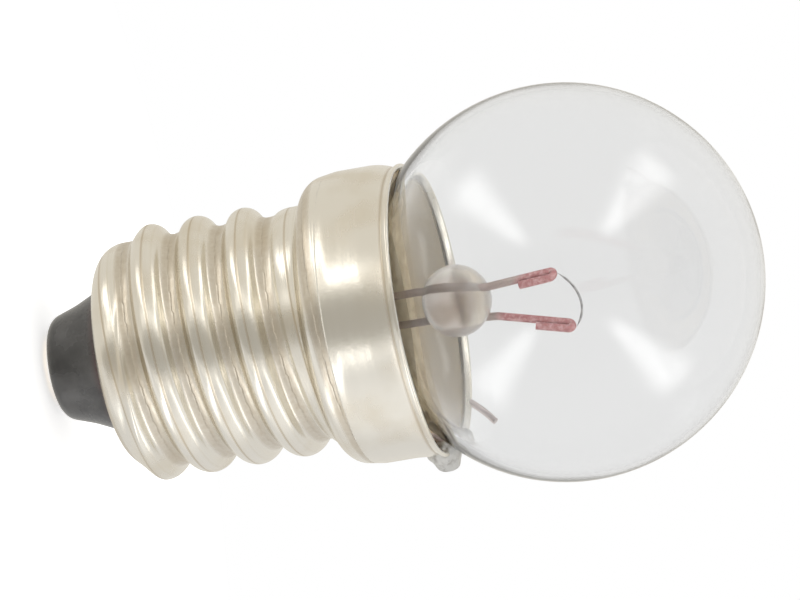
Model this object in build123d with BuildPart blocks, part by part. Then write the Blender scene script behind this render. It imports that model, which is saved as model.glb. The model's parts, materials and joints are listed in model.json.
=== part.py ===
from build123d import *
from math import atan, atan2, cos, degrees, radians, sin, sqrt, tan
import os

os.makedirs("parts", exist_ok=True)

# Miniature screw-cap filament lamp with a clear round globe, in millimetres.
# +Z runs along the lamp's axis from the cap to the globe.
# The origin is the outer end of the centre contact, where a holder's spring meets the lamp.

# Centre contact
solder_height = 0.2
solder_border_width = 0.4
plate_thickness = 0.25
plate_proud_height = 0.05
plate_hole_radius = 0.2

# Black glass insulator
insulator_length = 2.3
insulator_taper_width = 0.95
insulator_tip_fillet_radius = 0.6
insulator_land_width = 0.7
insulator_depth = 1.9
insulator_hole_radius = 0.4
insulator_clearance = 0.02

# Screw shell, drawn and rolled from one sheet
sheet_thickness = 0.2
mouth_flange_width = 0.455
corner_radius = 1.0
thread_major_diameter = 9.53
thread_depth = 0.51
thread_pitch = 1.814
thread_root_width = 0.13
thread_root_fillet_radius = 0.35
thread_crest_chords = 4
thread_first_crest_height = 2.09  # from the shell's edge to the first whole crest on the -X side
lead_in_place = 40  # degrees round the turned-in corner where the run-in cone starts
lead_in_slope = 48  # degrees between the run-in cone and the axis
threaded_length = 7.5
shoulder_height = 1.7
shoulder_fillet_radius = 0.7
collar_diameter = 11.0
collar_height = 1.8
turn_in_height = 0.65
turn_in_width = 0.17
flare_height = 0.3
flare_width = 0.07
notch_depth = 0.9
notch_side_clearance = 0.1

# Glass bulb
globe_diameter = 14.8
lip_clearance = 0.07
glass_thickness = 0.45
neck_diameter = 7.8
neck_fillet_radius = 1.2
neck_depth = 3.0
seal_depth = 6.3
seal_radius = 1.7
seal_thickness = 1.0
exhaust_tip_radius = 0.5
exhaust_tip_length = 1.4

# Cement between neck and collar
cement_top_depth = 2.05
cement_height = 1.55
cement_foot_radius = 4.5

# Bead, lead wires and filament
bead_diameter = 2.8
bead_drop_height = 4.3
wire_diameter = 0.3
wire_bend_radius = 0.5
wire_bend_clearance = 0.3
lead_plane_angle = 44  # degrees from +X to the plane of the two leads
lead_pair_width = 1.58
lead_tip_width = 2.74
bead_lean_width = 0.25
tip_lean_width = 0.5
hook_drop_height = 0.37
hook_angle = -45  # degrees from +X to the side that the hooks are folded to
hook_bend_radius = 0.16
hook_length = 1.2
filament_diameter = 0.12
filament_rise_height = 0.41
filament_seat_depth = 0.02

# Side solder on the rim
side_solder_angle = 9  # degrees from +X
side_solder_radius = 0.85
side_solder_drop_height = 0.1

# Levels along the axis, from the contact up
insulator_end = solder_height + plate_proud_height
plate_top = solder_height + plate_thickness
shell_edge = insulator_end + insulator_length
insulator_top = shell_edge + insulator_depth
shoulder_start = shell_edge + threaded_length
shoulder_top = shoulder_start + shoulder_height
collar_top = shoulder_top + collar_height
waist = collar_top + turn_in_height
rim = waist + flare_height
neck_bottom = rim - neck_depth
seal_bottom = rim - seal_depth
seal_floor = seal_bottom + seal_thickness
exhaust_end = seal_bottom - exhaust_tip_length
cement_top = rim - cement_top_depth
cement_bottom = cement_top - cement_height

# Radii that follow from the sizes above
thread_crest = thread_major_diameter / 2
thread_root = thread_crest - thread_depth
mouth_radius = thread_root - corner_radius - mouth_flange_width
insulator_tip_radius = mouth_radius - insulator_taper_width
plate_radius = insulator_tip_radius - insulator_land_width
solder_radius = plate_radius - solder_border_width
collar_radius = collar_diameter / 2
waist_radius = collar_radius - turn_in_width
lip_radius = waist_radius + flare_width
globe_radius = globe_diameter / 2
neck_radius = neck_diameter / 2
bead_radius = bead_diameter / 2
wire_radius = wire_diameter / 2

# The globe sits over the lip with a narrow gap all round
lip_bore = lip_radius - sheet_thickness
globe_centre = rim + sqrt((globe_radius + lip_clearance) ** 2 - lip_bore**2)
bead_centre = globe_centre - bead_drop_height

# Thread profile: a round crest between two root fillets, with a narrow land between turns
ridge_half_width = (thread_pitch - thread_root_width) / 2
flank_turn = 2 * atan(thread_depth / ridge_half_width)
thread_crest_radius = ridge_half_width / sin(flank_turn) - thread_root_fillet_radius

# The ridge starts on +X, one and a half turns below its first whole crest, and ends in the shoulder
ridge_start = shell_edge + thread_first_crest_height - 1.5 * thread_pitch
ridge_end = shoulder_start + shoulder_fillet_radius + thread_crest_radius

# Shoulder: two tangent arcs from the thread's root out to the collar
shoulder_turn = 2 * degrees(atan((collar_radius - thread_root) / shoulder_height))
shoulder_round = shoulder_height / sin(radians(shoulder_turn)) - shoulder_fillet_radius

# Collar's top: one arc that turns in from the collar to the waist
turn_in_turn = 2 * degrees(atan(turn_in_width / turn_in_height))
turn_in_round = turn_in_height / sin(radians(turn_in_turn))


def polar(radius, angle, height):
    return Vector(radius * cos(radians(angle)), radius * sin(radians(angle)), height)


def thread_ridge(inset):
    # The helical ridge on the shell's outline set in by a distance.
    # A cone leans with the thread over its first half turn and cuts the ridge's start to a run-in.
    turn = corner_radius - inset
    corner_r = thread_root - corner_radius
    corner_z = shell_edge + corner_radius
    root = thread_root - inset
    foot = corner_r + turn * cos(radians(lead_in_slope))
    cone_r = corner_r + turn * cos(radians(lead_in_place))
    cone_z = corner_z - turn * sin(radians(lead_in_place))
    growth = tan(radians(lead_in_slope))
    shift = growth * thread_pitch / 4
    low = ridge_start - ridge_half_width
    reach = thread_crest + shift
    high = cone_z + (reach - cone_r + shift) / growth

    crest = []
    for step in range(thread_crest_chords + 1):
        angle = flank_turn * (2 * step / thread_crest_chords - 1)
        drop = thread_crest_radius * (1 - cos(angle))
        crest.append((root + thread_depth - drop, thread_crest_radius * sin(angle)))

    with BuildPart() as ridge:
        with BuildLine():
            Helix(thread_pitch, ridge_end - ridge_start, root, center=(0, 0, ridge_start))
        with BuildSketch(Plane((0, 0, ridge_start), x_dir=(1, 0, 0), z_dir=(0, -1, 0))):
            with BuildLine():
                Polyline(
                    (foot, -ridge_half_width),
                    (root, -ridge_half_width),
                    *crest,
                    (root, ridge_half_width),
                    (foot, ridge_half_width),
                    close=True,
                )
            make_face()
        sweep(is_frenet=True)
        with BuildSketch(Plane((shift, 0, 0), x_dir=(1, 0, 0), z_dir=(0, -1, 0))):
            with BuildLine():
                Polyline(
                    (cone_r - shift - (cone_z - low) * growth, low),
                    (reach, high),
                    (reach + thread_depth, high),
                    (reach + thread_depth, low),
                    close=True,
                )
            make_face()
        revolve(axis=Axis((shift, 0, 0), (0, 0, 1)), mode=Mode.SUBTRACT)
    return ridge.part


def shell_form(inset):
    # The shell's outline as a filled body: the outside at 0, the hollow at the sheet thickness
    ridge = thread_ridge(inset)
    corner = (thread_root - corner_radius, shell_edge + corner_radius)
    concave_centre = (thread_root + shoulder_fillet_radius, shoulder_start)
    convex_centre = (collar_radius - shoulder_round, shoulder_top)
    turn_in_centre = (collar_radius - turn_in_round, collar_top)
    with BuildPart() as form:
        with BuildSketch(Plane.XZ):
            with BuildLine():
                turned_end = CenterArc(corner, corner_radius - inset, -90, 90)
                concave = CenterArc(concave_centre, shoulder_fillet_radius + inset, 180, -shoulder_turn)
                convex = CenterArc(convex_centre, shoulder_round - inset, -shoulder_turn, shoulder_turn)
                turn_in = CenterArc(turn_in_centre, turn_in_round - inset, 0, turn_in_turn)
                Line(turned_end @ 1, concave @ 0)
                Line(convex @ 1, turn_in @ 0)
                Polyline(
                    turn_in @ 1,
                    (lip_radius - inset, rim),
                    (0, rim),
                    (0, shell_edge + inset),
                    turned_end @ 0,
                )
            make_face()
        revolve(axis=Axis.Z)
        add(ridge)
    return form.part


def glass_outline(wall):
    # The glass bulb's outline as a filled body: the outside at 0, the hollow at the glass thickness
    fillet_r = neck_radius + neck_fillet_radius
    fillet_z = globe_centre - sqrt((globe_radius + neck_fillet_radius) ** 2 - fillet_r**2)
    meet = degrees(atan2(fillet_z - globe_centre, fillet_r))
    globe = CenterArc((0, globe_centre), globe_radius - wall, meet, 90 - meet)
    throat = CenterArc((fillet_r, fillet_z), neck_fillet_radius + wall, 180, meet)
    return globe, throat


def fold_direction(along):
    # The side of a lead that its hook lies on
    side = polar(1, hook_angle, 0)
    return (side - along * along.dot(side)).normalized()


def fold_hook(run):
    # Folds a lead's end back beside itself
    along = run % 1
    across = fold_direction(along)
    top = run @ 1
    turned = top + across * (2 * hook_bend_radius)
    ThreePointArc(top, top + (along + across) * hook_bend_radius, turned)
    Line(turned, turned - along * hook_length)


def hook_crown(run):
    # The point on top of a lead's hook where the filament is seated
    along = run % 1
    across = fold_direction(along)
    rise = hook_bend_radius + wire_radius + filament_seat_depth
    return run @ 1 + across * hook_bend_radius + along * rise


outer_form = shell_form(0)
hollow_form = shell_form(sheet_thickness)
wire_gap_radius = (neck_radius + collar_radius - sheet_thickness) / 2
wire_fold_radius = (seal_radius + thread_root - sheet_thickness) / 2
hook_start = globe_centre - hook_drop_height

with BuildPart() as lead_centre:
    side = lead_plane_angle + 180
    with BuildLine():
        centre_run = FilletPolyline(
            (0, 0, solder_height),
            (0, 0, insulator_top + wire_bend_clearance),
            polar(lead_pair_width / 2, side, exhaust_end - wire_bend_clearance),
            polar(lead_pair_width / 2, side, bead_centre - bead_radius),
            polar(lead_pair_width / 2, side, bead_centre + bead_radius) + (bead_lean_width, 0, 0),
            polar(lead_tip_width / 2, side, hook_start) + (tip_lean_width, 0, 0),
            radius=wire_bend_radius,
        )
        fold_hook(centre_run)
    with BuildSketch(Plane(centre_run @ 0, z_dir=centre_run % 0)):
        Circle(wire_radius)
    sweep()
lead_centre.part.label = "lead_centre"
export_step(lead_centre.part, "parts/lead_centre.step")

with BuildPart() as lead_shell:
    side = lead_plane_angle
    with BuildLine():
        shell_run = FilletPolyline(
            polar(lip_radius - sheet_thickness / 2, side_solder_angle, rim - wire_radius),
            polar(wire_gap_radius, side_solder_angle, collar_top - wire_bend_clearance),
            polar(wire_gap_radius, side_solder_angle, neck_bottom),
            polar(wire_fold_radius, (side + side_solder_angle) / 2, seal_floor),
            polar(lead_pair_width / 2, side, exhaust_end),
            polar(lead_pair_width / 2, side, bead_centre - bead_radius),
            polar(lead_pair_width / 2, side, bead_centre + bead_radius) + (bead_lean_width, 0, 0),
            polar(lead_tip_width / 2, side, hook_start) + (tip_lean_width, 0, 0),
            radius=wire_bend_radius,
        )
        fold_hook(shell_run)
    with BuildSketch(Plane(shell_run @ 0, z_dir=shell_run % 0)):
        Circle(wire_radius)
    sweep()
lead_shell.part.label = "lead_shell"
export_step(lead_shell.part, "parts/lead_shell.step")

with BuildPart() as filament:
    seat_a = hook_crown(centre_run)
    seat_b = hook_crown(shell_run)
    with BuildLine():
        middle = (seat_a + seat_b) / 2
        arch = ThreePointArc(seat_a, (middle.X, middle.Y, globe_centre + filament_rise_height), seat_b)
    with BuildSketch(Plane(arch @ 0, z_dir=arch % 0)):
        Circle(filament_diameter / 2)
    sweep()
filament.part.label = "filament"
export_step(filament.part, "parts/filament.step")

with BuildPart() as glass_bead:
    with Locations((0, 0, bead_centre)):
        Sphere(bead_radius)
    add(lead_centre.part, mode=Mode.SUBTRACT)
    add(lead_shell.part, mode=Mode.SUBTRACT)
glass_bead.part.label = "glass_bead"
export_step(glass_bead.part, "parts/glass_bead.step")

with BuildPart() as glass_bulb:
    with BuildSketch(Plane.XZ):
        with BuildLine():
            outer_globe, outer_throat = glass_outline(0)
            Polyline(
                outer_throat @ 0,
                (neck_radius, neck_bottom),
                (seal_radius, seal_bottom),
                (exhaust_tip_radius, seal_bottom),
                (exhaust_tip_radius, exhaust_end + exhaust_tip_radius),
                (0, exhaust_end),
                outer_globe @ 1,
            )
        make_face()
    revolve(axis=Axis.Z)
    with BuildSketch(Plane.XZ):
        with BuildLine():
            inner_globe, inner_throat = glass_outline(glass_thickness)
            Polyline(
                inner_throat @ 0,
                (neck_radius - glass_thickness, neck_bottom),
                (seal_radius, seal_floor),
                (0, seal_floor),
                inner_globe @ 1,
            )
        make_face()
    revolve(axis=Axis.Z, mode=Mode.SUBTRACT)
    add(lead_centre.part, mode=Mode.SUBTRACT)
    add(lead_shell.part, mode=Mode.SUBTRACT)
glass_bulb.part.label = "glass_bulb"
export_step(glass_bulb.part, "parts/glass_bulb.step")

with BuildPart() as screw_shell:
    add(outer_form)
    add(hollow_form, mode=Mode.SUBTRACT)
    with BuildSketch(Plane.XY.offset(shell_edge)):
        Circle(mouth_radius)
    extrude(amount=sheet_thickness, mode=Mode.SUBTRACT)
    with BuildSketch(Plane.XY.offset(rim)):
        with PolarLocations(collar_radius, 1, start_angle=side_solder_angle):
            Rectangle(2 * notch_depth, wire_diameter + 2 * notch_side_clearance)
    extrude(amount=-notch_depth, mode=Mode.SUBTRACT)
screw_shell.part.label = "screw_shell"
export_step(screw_shell.part, "parts/screw_shell.step")

with BuildPart() as insulator:
    flange_turn = corner_radius - sheet_thickness - insulator_clearance
    flange_centre = (thread_root - corner_radius, shell_edge + corner_radius)
    with BuildSketch(Plane.XZ) as insulator_section:
        with BuildLine():
            flange = CenterArc(flange_centre, flange_turn, -90, 90)
            Polyline(
                flange @ 0,
                (mouth_radius - insulator_clearance, (flange @ 0).Y),
                (mouth_radius - insulator_clearance, shell_edge),
                (insulator_tip_radius, insulator_end),
                (plate_radius, insulator_end),
                (plate_radius, plate_top),
                (insulator_hole_radius, plate_top),
                (insulator_hole_radius, insulator_top),
                ((flange @ 1).X, insulator_top),
                flange @ 1,
            )
        make_face()
        tip_corner = insulator_section.vertices().group_by(Axis.Y)[0].sort_by(Axis.X)[-1]
        fillet(tip_corner, insulator_tip_fillet_radius)
    revolve(axis=Axis.Z)
insulator.part.label = "insulator"
export_step(insulator.part, "parts/insulator.step")

with BuildPart() as contact_plate:
    with BuildSketch(Plane.XY.offset(solder_height)):
        Circle(plate_radius)
        Circle(plate_hole_radius, mode=Mode.SUBTRACT)
    extrude(amount=plate_thickness)
contact_plate.part.label = "contact_plate"
export_step(contact_plate.part, "parts/contact_plate.step")

with BuildPart() as centre_solder:
    with BuildSketch(Plane.XZ):
        with BuildLine():
            dome = ThreePointArc(
                (-solder_radius, solder_height),
                (0, 0),
                (solder_radius, solder_height),
            )
            Line(dome @ 0, dome @ 1)
        make_face()
        split(bisect_by=Plane.YZ)
    revolve(axis=Axis.Z)
centre_solder.part.label = "centre_solder"
export_step(centre_solder.part, "parts/centre_solder.step")

with BuildPart() as basing_cement:
    taper = (neck_radius - seal_radius) / (neck_bottom - seal_bottom)
    with BuildSketch(Plane.XZ):
        with BuildLine():
            Polyline(
                (neck_radius, cement_top),
                (collar_radius - sheet_thickness, cement_top),
                (collar_radius - sheet_thickness, shoulder_top),
                (cement_foot_radius, cement_bottom),
                (neck_radius - (neck_bottom - cement_bottom) * taper, cement_bottom),
                (neck_radius, neck_bottom),
                close=True,
            )
        make_face()
    revolve(axis=Axis.Z)
    add(lead_shell.part, mode=Mode.SUBTRACT)
basing_cement.part.label = "basing_cement"
export_step(basing_cement.part, "parts/basing_cement.step")

with BuildPart() as side_solder:
    with Locations(polar(lip_radius, side_solder_angle, rim - side_solder_drop_height)):
        Sphere(side_solder_radius)
    add(outer_form, mode=Mode.SUBTRACT)
    with Locations((0, 0, globe_centre)):
        Sphere(globe_radius, mode=Mode.SUBTRACT)
    add(lead_shell.part, mode=Mode.SUBTRACT)
side_solder.part.label = "side_solder"
export_step(side_solder.part, "parts/side_solder.step")
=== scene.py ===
import json
from math import atan, atan2, ceil, cos, degrees, pi, radians, sin, sqrt, tan

import bmesh
import bpy
from mathutils import Matrix, Vector, noise

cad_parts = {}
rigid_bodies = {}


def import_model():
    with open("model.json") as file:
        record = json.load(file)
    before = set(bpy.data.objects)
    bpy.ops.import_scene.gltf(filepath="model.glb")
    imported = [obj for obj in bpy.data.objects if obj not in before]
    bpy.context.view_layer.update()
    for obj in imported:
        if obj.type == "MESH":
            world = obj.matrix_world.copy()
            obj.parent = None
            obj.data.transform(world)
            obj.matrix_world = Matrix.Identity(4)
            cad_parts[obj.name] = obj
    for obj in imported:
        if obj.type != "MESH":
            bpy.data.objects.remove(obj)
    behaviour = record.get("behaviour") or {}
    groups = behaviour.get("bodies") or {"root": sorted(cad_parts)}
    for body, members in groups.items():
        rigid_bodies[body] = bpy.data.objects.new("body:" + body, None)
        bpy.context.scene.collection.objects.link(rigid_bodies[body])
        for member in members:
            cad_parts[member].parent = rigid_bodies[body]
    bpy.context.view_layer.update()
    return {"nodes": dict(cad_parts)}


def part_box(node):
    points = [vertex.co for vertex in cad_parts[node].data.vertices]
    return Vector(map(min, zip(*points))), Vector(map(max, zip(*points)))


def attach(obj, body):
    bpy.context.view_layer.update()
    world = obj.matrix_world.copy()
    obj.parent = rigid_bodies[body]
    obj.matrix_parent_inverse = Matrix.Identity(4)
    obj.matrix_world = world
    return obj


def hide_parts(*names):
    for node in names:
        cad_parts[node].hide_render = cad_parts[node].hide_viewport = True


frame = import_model()
scene = bpy.context.scene
scene.view_settings.view_transform = "Standard"
mm = 0.001
fullTurn = 2 * pi
white = (1, 1, 1, 1)
print("frame loaded:", len(frame["nodes"]), "solids")


class Flow:  # a node's socket that takes part in sums
    def __init__(self, tree, socket=None):
        self.tree = tree
        self.socket = socket

    def node(self, kind, settings, sockets, out=0):
        made = self.tree.nodes.new(kind)
        for name, value in settings.items():
            setattr(made, name, value)
        for name, value in sockets.items():
            if isinstance(value, Flow):
                self.tree.links.new(value.socket, made.inputs[name])
            else:
                made.inputs[name].default_value = value
        return Flow(self.tree, made.outputs[out] if made.outputs else None)

    def other(self, out):  # another output of the same node
        return Flow(self.tree, self.socket.node.outputs[out])

    def part(self, axis):  # one part of a place
        return self.node("ShaderNodeSeparateXYZ", {}, {0: self}, axis)

    def math(self, operation, *values):
        return self.node("ShaderNodeMath", {"operation": operation}, dict(enumerate((self, *values))))

    def ease(self, low, high):  # 0 below low, 1 above high, smooth between
        sockets = {"Value": self, "From Min": low, "From Max": high}
        return self.node("ShaderNodeMapRange", {"interpolation_type": "SMOOTHSTEP"}, sockets)

    def blend(self, low, high):  # colour low where this is 0, colour high where it is 1
        return self.node("ShaderNodeMix", {"data_type": "RGBA"}, {0: self, 6: low, 7: high}, 2)

    def __add__(self, value):
        return self.math("ADD", value)

    def __mul__(self, value):
        return self.math("MULTIPLY", value)

    def __sub__(self, value):
        return self.math("SUBTRACT", value)

    def __rsub__(self, value):
        return self.math("MULTIPLY_ADD", -1.0, value)

    def __truediv__(self, value):
        return self.math("DIVIDE", value)

    __radd__ = __add__
    __rmul__ = __mul__


# Outlines: points in the section plane, x the radius and y the height, in millimetres

def arcRun(centre, radius, start, end, steps):
    turns = [radians(start + (end - start) * step / steps) for step in range(steps + 1)]
    return [Vector((centre[0] + radius * cos(turn), centre[1] + radius * sin(turn))) for turn in turns]


def roundedRuns(corners, closed, steps=8):  # a run of points for each corner: radius, height, rounding
    runs = []
    for index, corner in enumerate(corners):
        spot = Vector(corner[:2])
        if not closed and index in (0, len(corners) - 1):
            runs.append([spot])
            continue
        back = (Vector(corners[index - 1][:2]) - spot).normalized()
        ahead = (Vector(corners[(index + 1) % len(corners)][:2]) - spot).normalized()
        half = back.angle(ahead) / 2
        sweep = pi - 2 * half
        middle = spot + (back + ahead).normalized() * (corner[2] / sin(half))
        first = spot + back * (corner[2] / tan(half)) - middle
        last = spot + ahead * (corner[2] / tan(half)) - middle
        run = []
        for step in range(steps + 1):
            share = step / steps
            spoke = first * sin((1 - share) * sweep) + last * sin(share * sweep)
            run.append(middle + spoke / sin(sweep))
        runs.append(run)
    return runs


def insetCorners(corners, wall, leastRounding=0.25):
    # the same corners, moved by the wall to the left of the way they run; rounded by a share of it at least
    spots = [Vector(corner[:2]) for corner in corners]
    ways = [(after - before).normalized() for before, after in zip(spots, spots[1:])]
    moved = []
    for spot, corner, wayIn, wayOut in zip(spots, corners, ways[:1] + ways, ways + ways[-1:]):
        leftIn = Vector((-wayIn.y, wayIn.x))
        leftOut = Vector((-wayOut.y, wayOut.x))
        place = spot + (leftIn + leftOut) * (wall / (1 + leftIn.dot(leftOut)))
        rounding = corner[2] - wall if wayIn.cross(wayOut) > 0 else corner[2] + wall
        moved.append((place.x, place.y, max(rounding, wall * leastRounding)))
    return moved


def joined(runs, longest):  # one run of points with no step longer than the longest
    points = [point for run in runs for point in run]
    spread = [points[0]]
    for before, after in zip(points, points[1:]):
        pieces = max(1, ceil((after - before).length / longest))
        spread += [before.lerp(after, piece / pieces) for piece in range(1, pieces + 1)]
    return spread


# Node trees for the pieces that are turned, rolled or wound
weldDistance = 2e-7  # metres: points this close become one
pointNumber = {"data_type": "FLOAT", "domain": "POINT"}
pointPlace = {"data_type": "FLOAT_VECTOR", "domain": "POINT"}


def newTree(name, inputs):
    tree = bpy.data.node_groups.new(name, "GeometryNodeTree")
    tree.interface.new_socket("Geometry", in_out="INPUT", socket_type="NodeSocketGeometry")
    for label, kind in inputs.items():
        tree.interface.new_socket(label, in_out="INPUT", socket_type="NodeSocket" + kind)
    tree.interface.new_socket("Geometry", in_out="OUTPUT", socket_type="NodeSocketGeometry")
    given = Flow(tree).node("NodeGroupInput", {}, {})
    return tree, given


def closeTree(given, geometry):
    welding = {"Geometry": geometry, "Distance": weldDistance}
    merged = given.node("GeometryNodeMergeByDistance", {}, welding)
    smooth = given.node("GeometryNodeSetShadeSmooth", {}, {"Geometry": merged})
    real = given.node("GeometryNodeRealizeInstances", {}, {"Geometry": smooth})
    dressing = {"Geometry": real, "Material": given.other("Finish")}
    dressed = given.node("GeometryNodeSetMaterial", {}, dressing)
    given.node("NodeGroupOutput", {}, {"Geometry": dressed})


def readMark(given, mark):  # a number that each point carries
    return given.node("GeometryNodeInputNamedAttribute", {"data_type": "FLOAT"}, {"Name": mark})


def storeMark(given, geometry, mark, value):
    storing = {"Geometry": geometry, "Name": mark, "Value": value}
    return given.node("GeometryNodeStoreNamedAttribute", pointNumber, storing)


def makeSpunTree():  # turns an outline round Z, and carries the outline's marks to the surface
    tree, given = newTree("spunOutline", {"Steps": "Int", "Finish": "Material"})
    outline = given.other("Geometry")
    steps = given.other("Steps")
    counting = {"component": "MESH"}
    rows = given.node("GeometryNodeAttributeDomainSize", counting, {"Geometry": outline}, "Point Count")
    gridSize = {"Size X": 1.0, "Size Y": 1.0, "Vertices X": steps + 1, "Vertices Y": rows}
    surface = given.node("GeometryNodeMeshGrid", {}, gridSize, "Mesh")
    index = given.node("GeometryNodeInputIndex", {}, {})
    row = index.math("MODULO", rows)
    turn = (index - row) / rows / steps * fullTurn
    for mark in ("threaded", "inset"):
        lookup = {"Geometry": outline, "Value": readMark(given, mark), "Index": row}
        value = given.node("GeometryNodeSampleIndex", pointNumber, lookup)
        surface = storeMark(given, surface, mark, value)
    place = given.node("GeometryNodeInputPosition", {}, {})
    lookup = {"Geometry": outline, "Value": place, "Index": row}
    radius = given.node("GeometryNodeSampleIndex", pointPlace, lookup).part("X")
    height = radius.other("Z")
    across = {"X": radius * turn.math("COSINE"), "Y": radius * turn.math("SINE"), "Z": height}
    spot = given.node("ShaderNodeCombineXYZ", {}, across)
    spun = given.node("GeometryNodeSetPosition", {}, {"Geometry": surface, "Position": spot})
    closeTree(given, spun)
    return tree


def makeThreadTree():  # lifts the marked stretch of a turned sheet along a right-hand helix
    sizes = (
        "Pitch", "Start", "Half Width", "Depth", "Crest Round", "Root Round", "Crest Half", "Root Radius",
        "Cone Radius", "Cone Height", "Cone Growth", "Cone Inset", "Cone Shift",
        "Foot", "Blend", "Lift Blend", "Run In", "Run In Reach", "Run Out", "Run Out Reach", "Run Out Drop",
        "Bend", "Bend Foot", "Bend Top", "Bend Place", "Bend Reach",
    )
    tree, given = newTree("rolledThread", {**dict.fromkeys(sizes, "Float"), "Finish": "Material"})
    size = {name: given.other(name) for name in sizes}
    crestRound = size["Crest Round"]
    rootRound = size["Root Round"]
    inset = readMark(given, "inset")
    threaded = readMark(given, "threaded")
    east = given.node("GeometryNodeInputPosition", {}, {}).part("X")
    north = east.other("Y")
    height = east.other("Z")
    radius = (east * east + north * north).math("SQRT")
    turn = north.math("ARCTAN2", east) / fullTurn
    climb = (height - size["Start"]) / size["Pitch"] - turn
    nearest = climb.math("ROUND")
    aside = (climb - nearest).math("ABSOLUTE") * size["Pitch"]
    travel = nearest + turn  # turns of the helix from its start
    onCrest = aside.math("LESS_THAN", size["Crest Half"])
    crestDrop = (crestRound * crestRound - aside * aside).math("MAXIMUM", 0.0).math("SQRT")
    crest = size["Depth"] - crestRound + crestDrop
    footAside = (size["Half Width"] - aside).math("MAXIMUM", 0.0)
    rootDrop = (rootRound * rootRound - footAside * footAside).math("MAXIMUM", 0.0).math("SQRT")
    ridge = onCrest * crest + (1 - onCrest) * (rootRound - rootDrop)
    lean = size["Cone Shift"] * (turn * fullTurn).math("COSINE") - size["Cone Shift"]
    cone = size["Cone Radius"] + (height - size["Cone Height"]) * size["Cone Growth"] + lean
    allowed = cone - inset * size["Cone Inset"]
    lifted = (size["Root Radius"] - inset + ridge).math("SMOOTH_MIN", allowed, size["Blend"])
    above = (lifted - radius).math("SMOOTH_MAX", 0.0, size["Lift Blend"])
    started = (travel - size["Run In"]).ease(0.0, size["Run In Reach"])
    faded = (travel - size["Run Out"]).ease(0.0, size["Run Out Reach"]) * size["Run Out Drop"]
    rise = above * footAside.ease(0.0, size["Foot"]) * started * (1 - faded) * threaded
    beside = (turn - size["Bend Place"]).math("ABSOLUTE")
    bent = size["Bend"] * height.ease(size["Bend Foot"], size["Bend Top"])
    bent = bent * (1 - beside.ease(0.0, size["Bend Reach"]))
    stretch = 1 + (rise + bent) / radius
    across = {"X": east * stretch, "Y": north * stretch, "Z": height}
    spot = given.node("ShaderNodeCombineXYZ", {}, across)
    groove = threaded * (1 - ridge / size["Depth"])
    track = height - threaded * (size["Start"] + travel * size["Pitch"])  # 0 along each crest
    marked = storeMark(given, given.other("Geometry"), "groove", groove)
    marked = storeMark(given, marked, "track", track)
    rolled = given.node("GeometryNodeSetPosition", {}, {"Geometry": marked, "Position": spot})
    closeTree(given, rolled)
    return tree


def makeCoilTree():  # winds a fine wire along an arch that stands in an upright plane
    sizes = (
        "Turns", "Coil Radius", "Wire Radius", "Middle X", "Middle Y", "Arch Centre", "Arch Radius",
        "Half Sweep", "Plane Angle", "Bare Share",
    )
    inputs = {**dict.fromkeys(sizes, "Float"), "Points": "Int", "Sides": "Int", "Finish": "Material"}
    tree, given = newTree("woundArch", inputs)
    size = {name: given.other(name) for name in sizes}
    points = given.other("Points")
    line = given.node("GeometryNodeMeshLine", {}, {"Count": points})
    index = given.node("GeometryNodeInputIndex", {}, {})
    share = index / (points - 1)
    swing = (share * 2 - 1) * size["Half Sweep"]
    fromEnd = share.math("MINIMUM", 1 - share)
    wound = size["Coil Radius"] * fromEnd.ease(0.0, size["Bare Share"])
    spin = share * size["Turns"] * fullTurn
    reach = size["Arch Radius"] + wound * spin.math("COSINE")
    along = reach * swing.math("SINE")
    height = size["Arch Centre"] + reach * swing.math("COSINE")
    aside = wound * spin.math("SINE")
    cosine = size["Plane Angle"].math("COSINE")
    sine = size["Plane Angle"].math("SINE")
    east = size["Middle X"] + along * cosine - aside * sine
    north = size["Middle Y"] + along * sine + aside * cosine
    spot = given.node("ShaderNodeCombineXYZ", {}, {"X": east, "Y": north, "Z": height})
    route = given.node("GeometryNodeSetPosition", {}, {"Geometry": line, "Position": spot})
    curve = given.node("GeometryNodeMeshToCurve", {}, {"Mesh": route})
    section = {"Resolution": given.other("Sides"), "Radius": size["Wire Radius"]}
    ring = given.node("GeometryNodeCurvePrimitiveCircle", {}, section)
    winding = {"Curve": curve, "Profile Curve": ring, "Fill Caps": True}
    wire = given.node("GeometryNodeCurveToMesh", {}, winding)
    closeTree(given, wire)
    return tree


spunTree = makeSpunTree()
threadTree = makeThreadTree()
coilTree = makeCoilTree()
print("node trees made")


def runTrees(piece, stages):  # each stage is a tree and the values of its inputs
    for tree, values in stages:
        modifier = piece.modifiers.new(tree.name, "NODES")
        modifier.node_group = tree
        for item in tree.interface.items_tree:
            if item.in_out == "INPUT" and item.name in values:
                modifier[item.identifier] = values[item.name]
    shown = bpy.context.evaluated_depsgraph_get()
    made = bpy.data.meshes.new_from_object(
        piece.evaluated_get(shown), preserve_all_data_layers=True, depsgraph=shown)
    piece.modifiers.clear()
    piece.data = made
    made.name = piece.name


def newPiece(name, mesh):
    piece = bpy.data.objects.new(name, mesh)
    scene.collection.objects.link(piece)
    return piece


def spinPiece(name, stretches, steps, finish, extraStages=()):
    # each stretch is a run of points, whether the thread is rolled there, and how far it is set in
    mesh = bpy.data.meshes.new(name)
    points = [(point.x * mm, 0.0, point.y * mm) for run, threaded, inset in stretches for point in run]
    mesh.from_pydata(points, [], [])
    marks = [(threaded, inset * mm) for run, threaded, inset in stretches for point in run]
    for mark, values in zip(("threaded", "inset"), zip(*marks)):
        mesh.attributes.new(mark, "FLOAT", "POINT").data.foreach_set("value", values)
    piece = newPiece(name, mesh)
    runTrees(piece, [(spunTree, {"Steps": steps, "Finish": finish}), *extraStages])
    return piece


def spinPlain(name, run, steps, finish):  # one run with no thread
    return spinPiece(name, [(run, 0.0, 0.0)], steps, finish)


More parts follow.
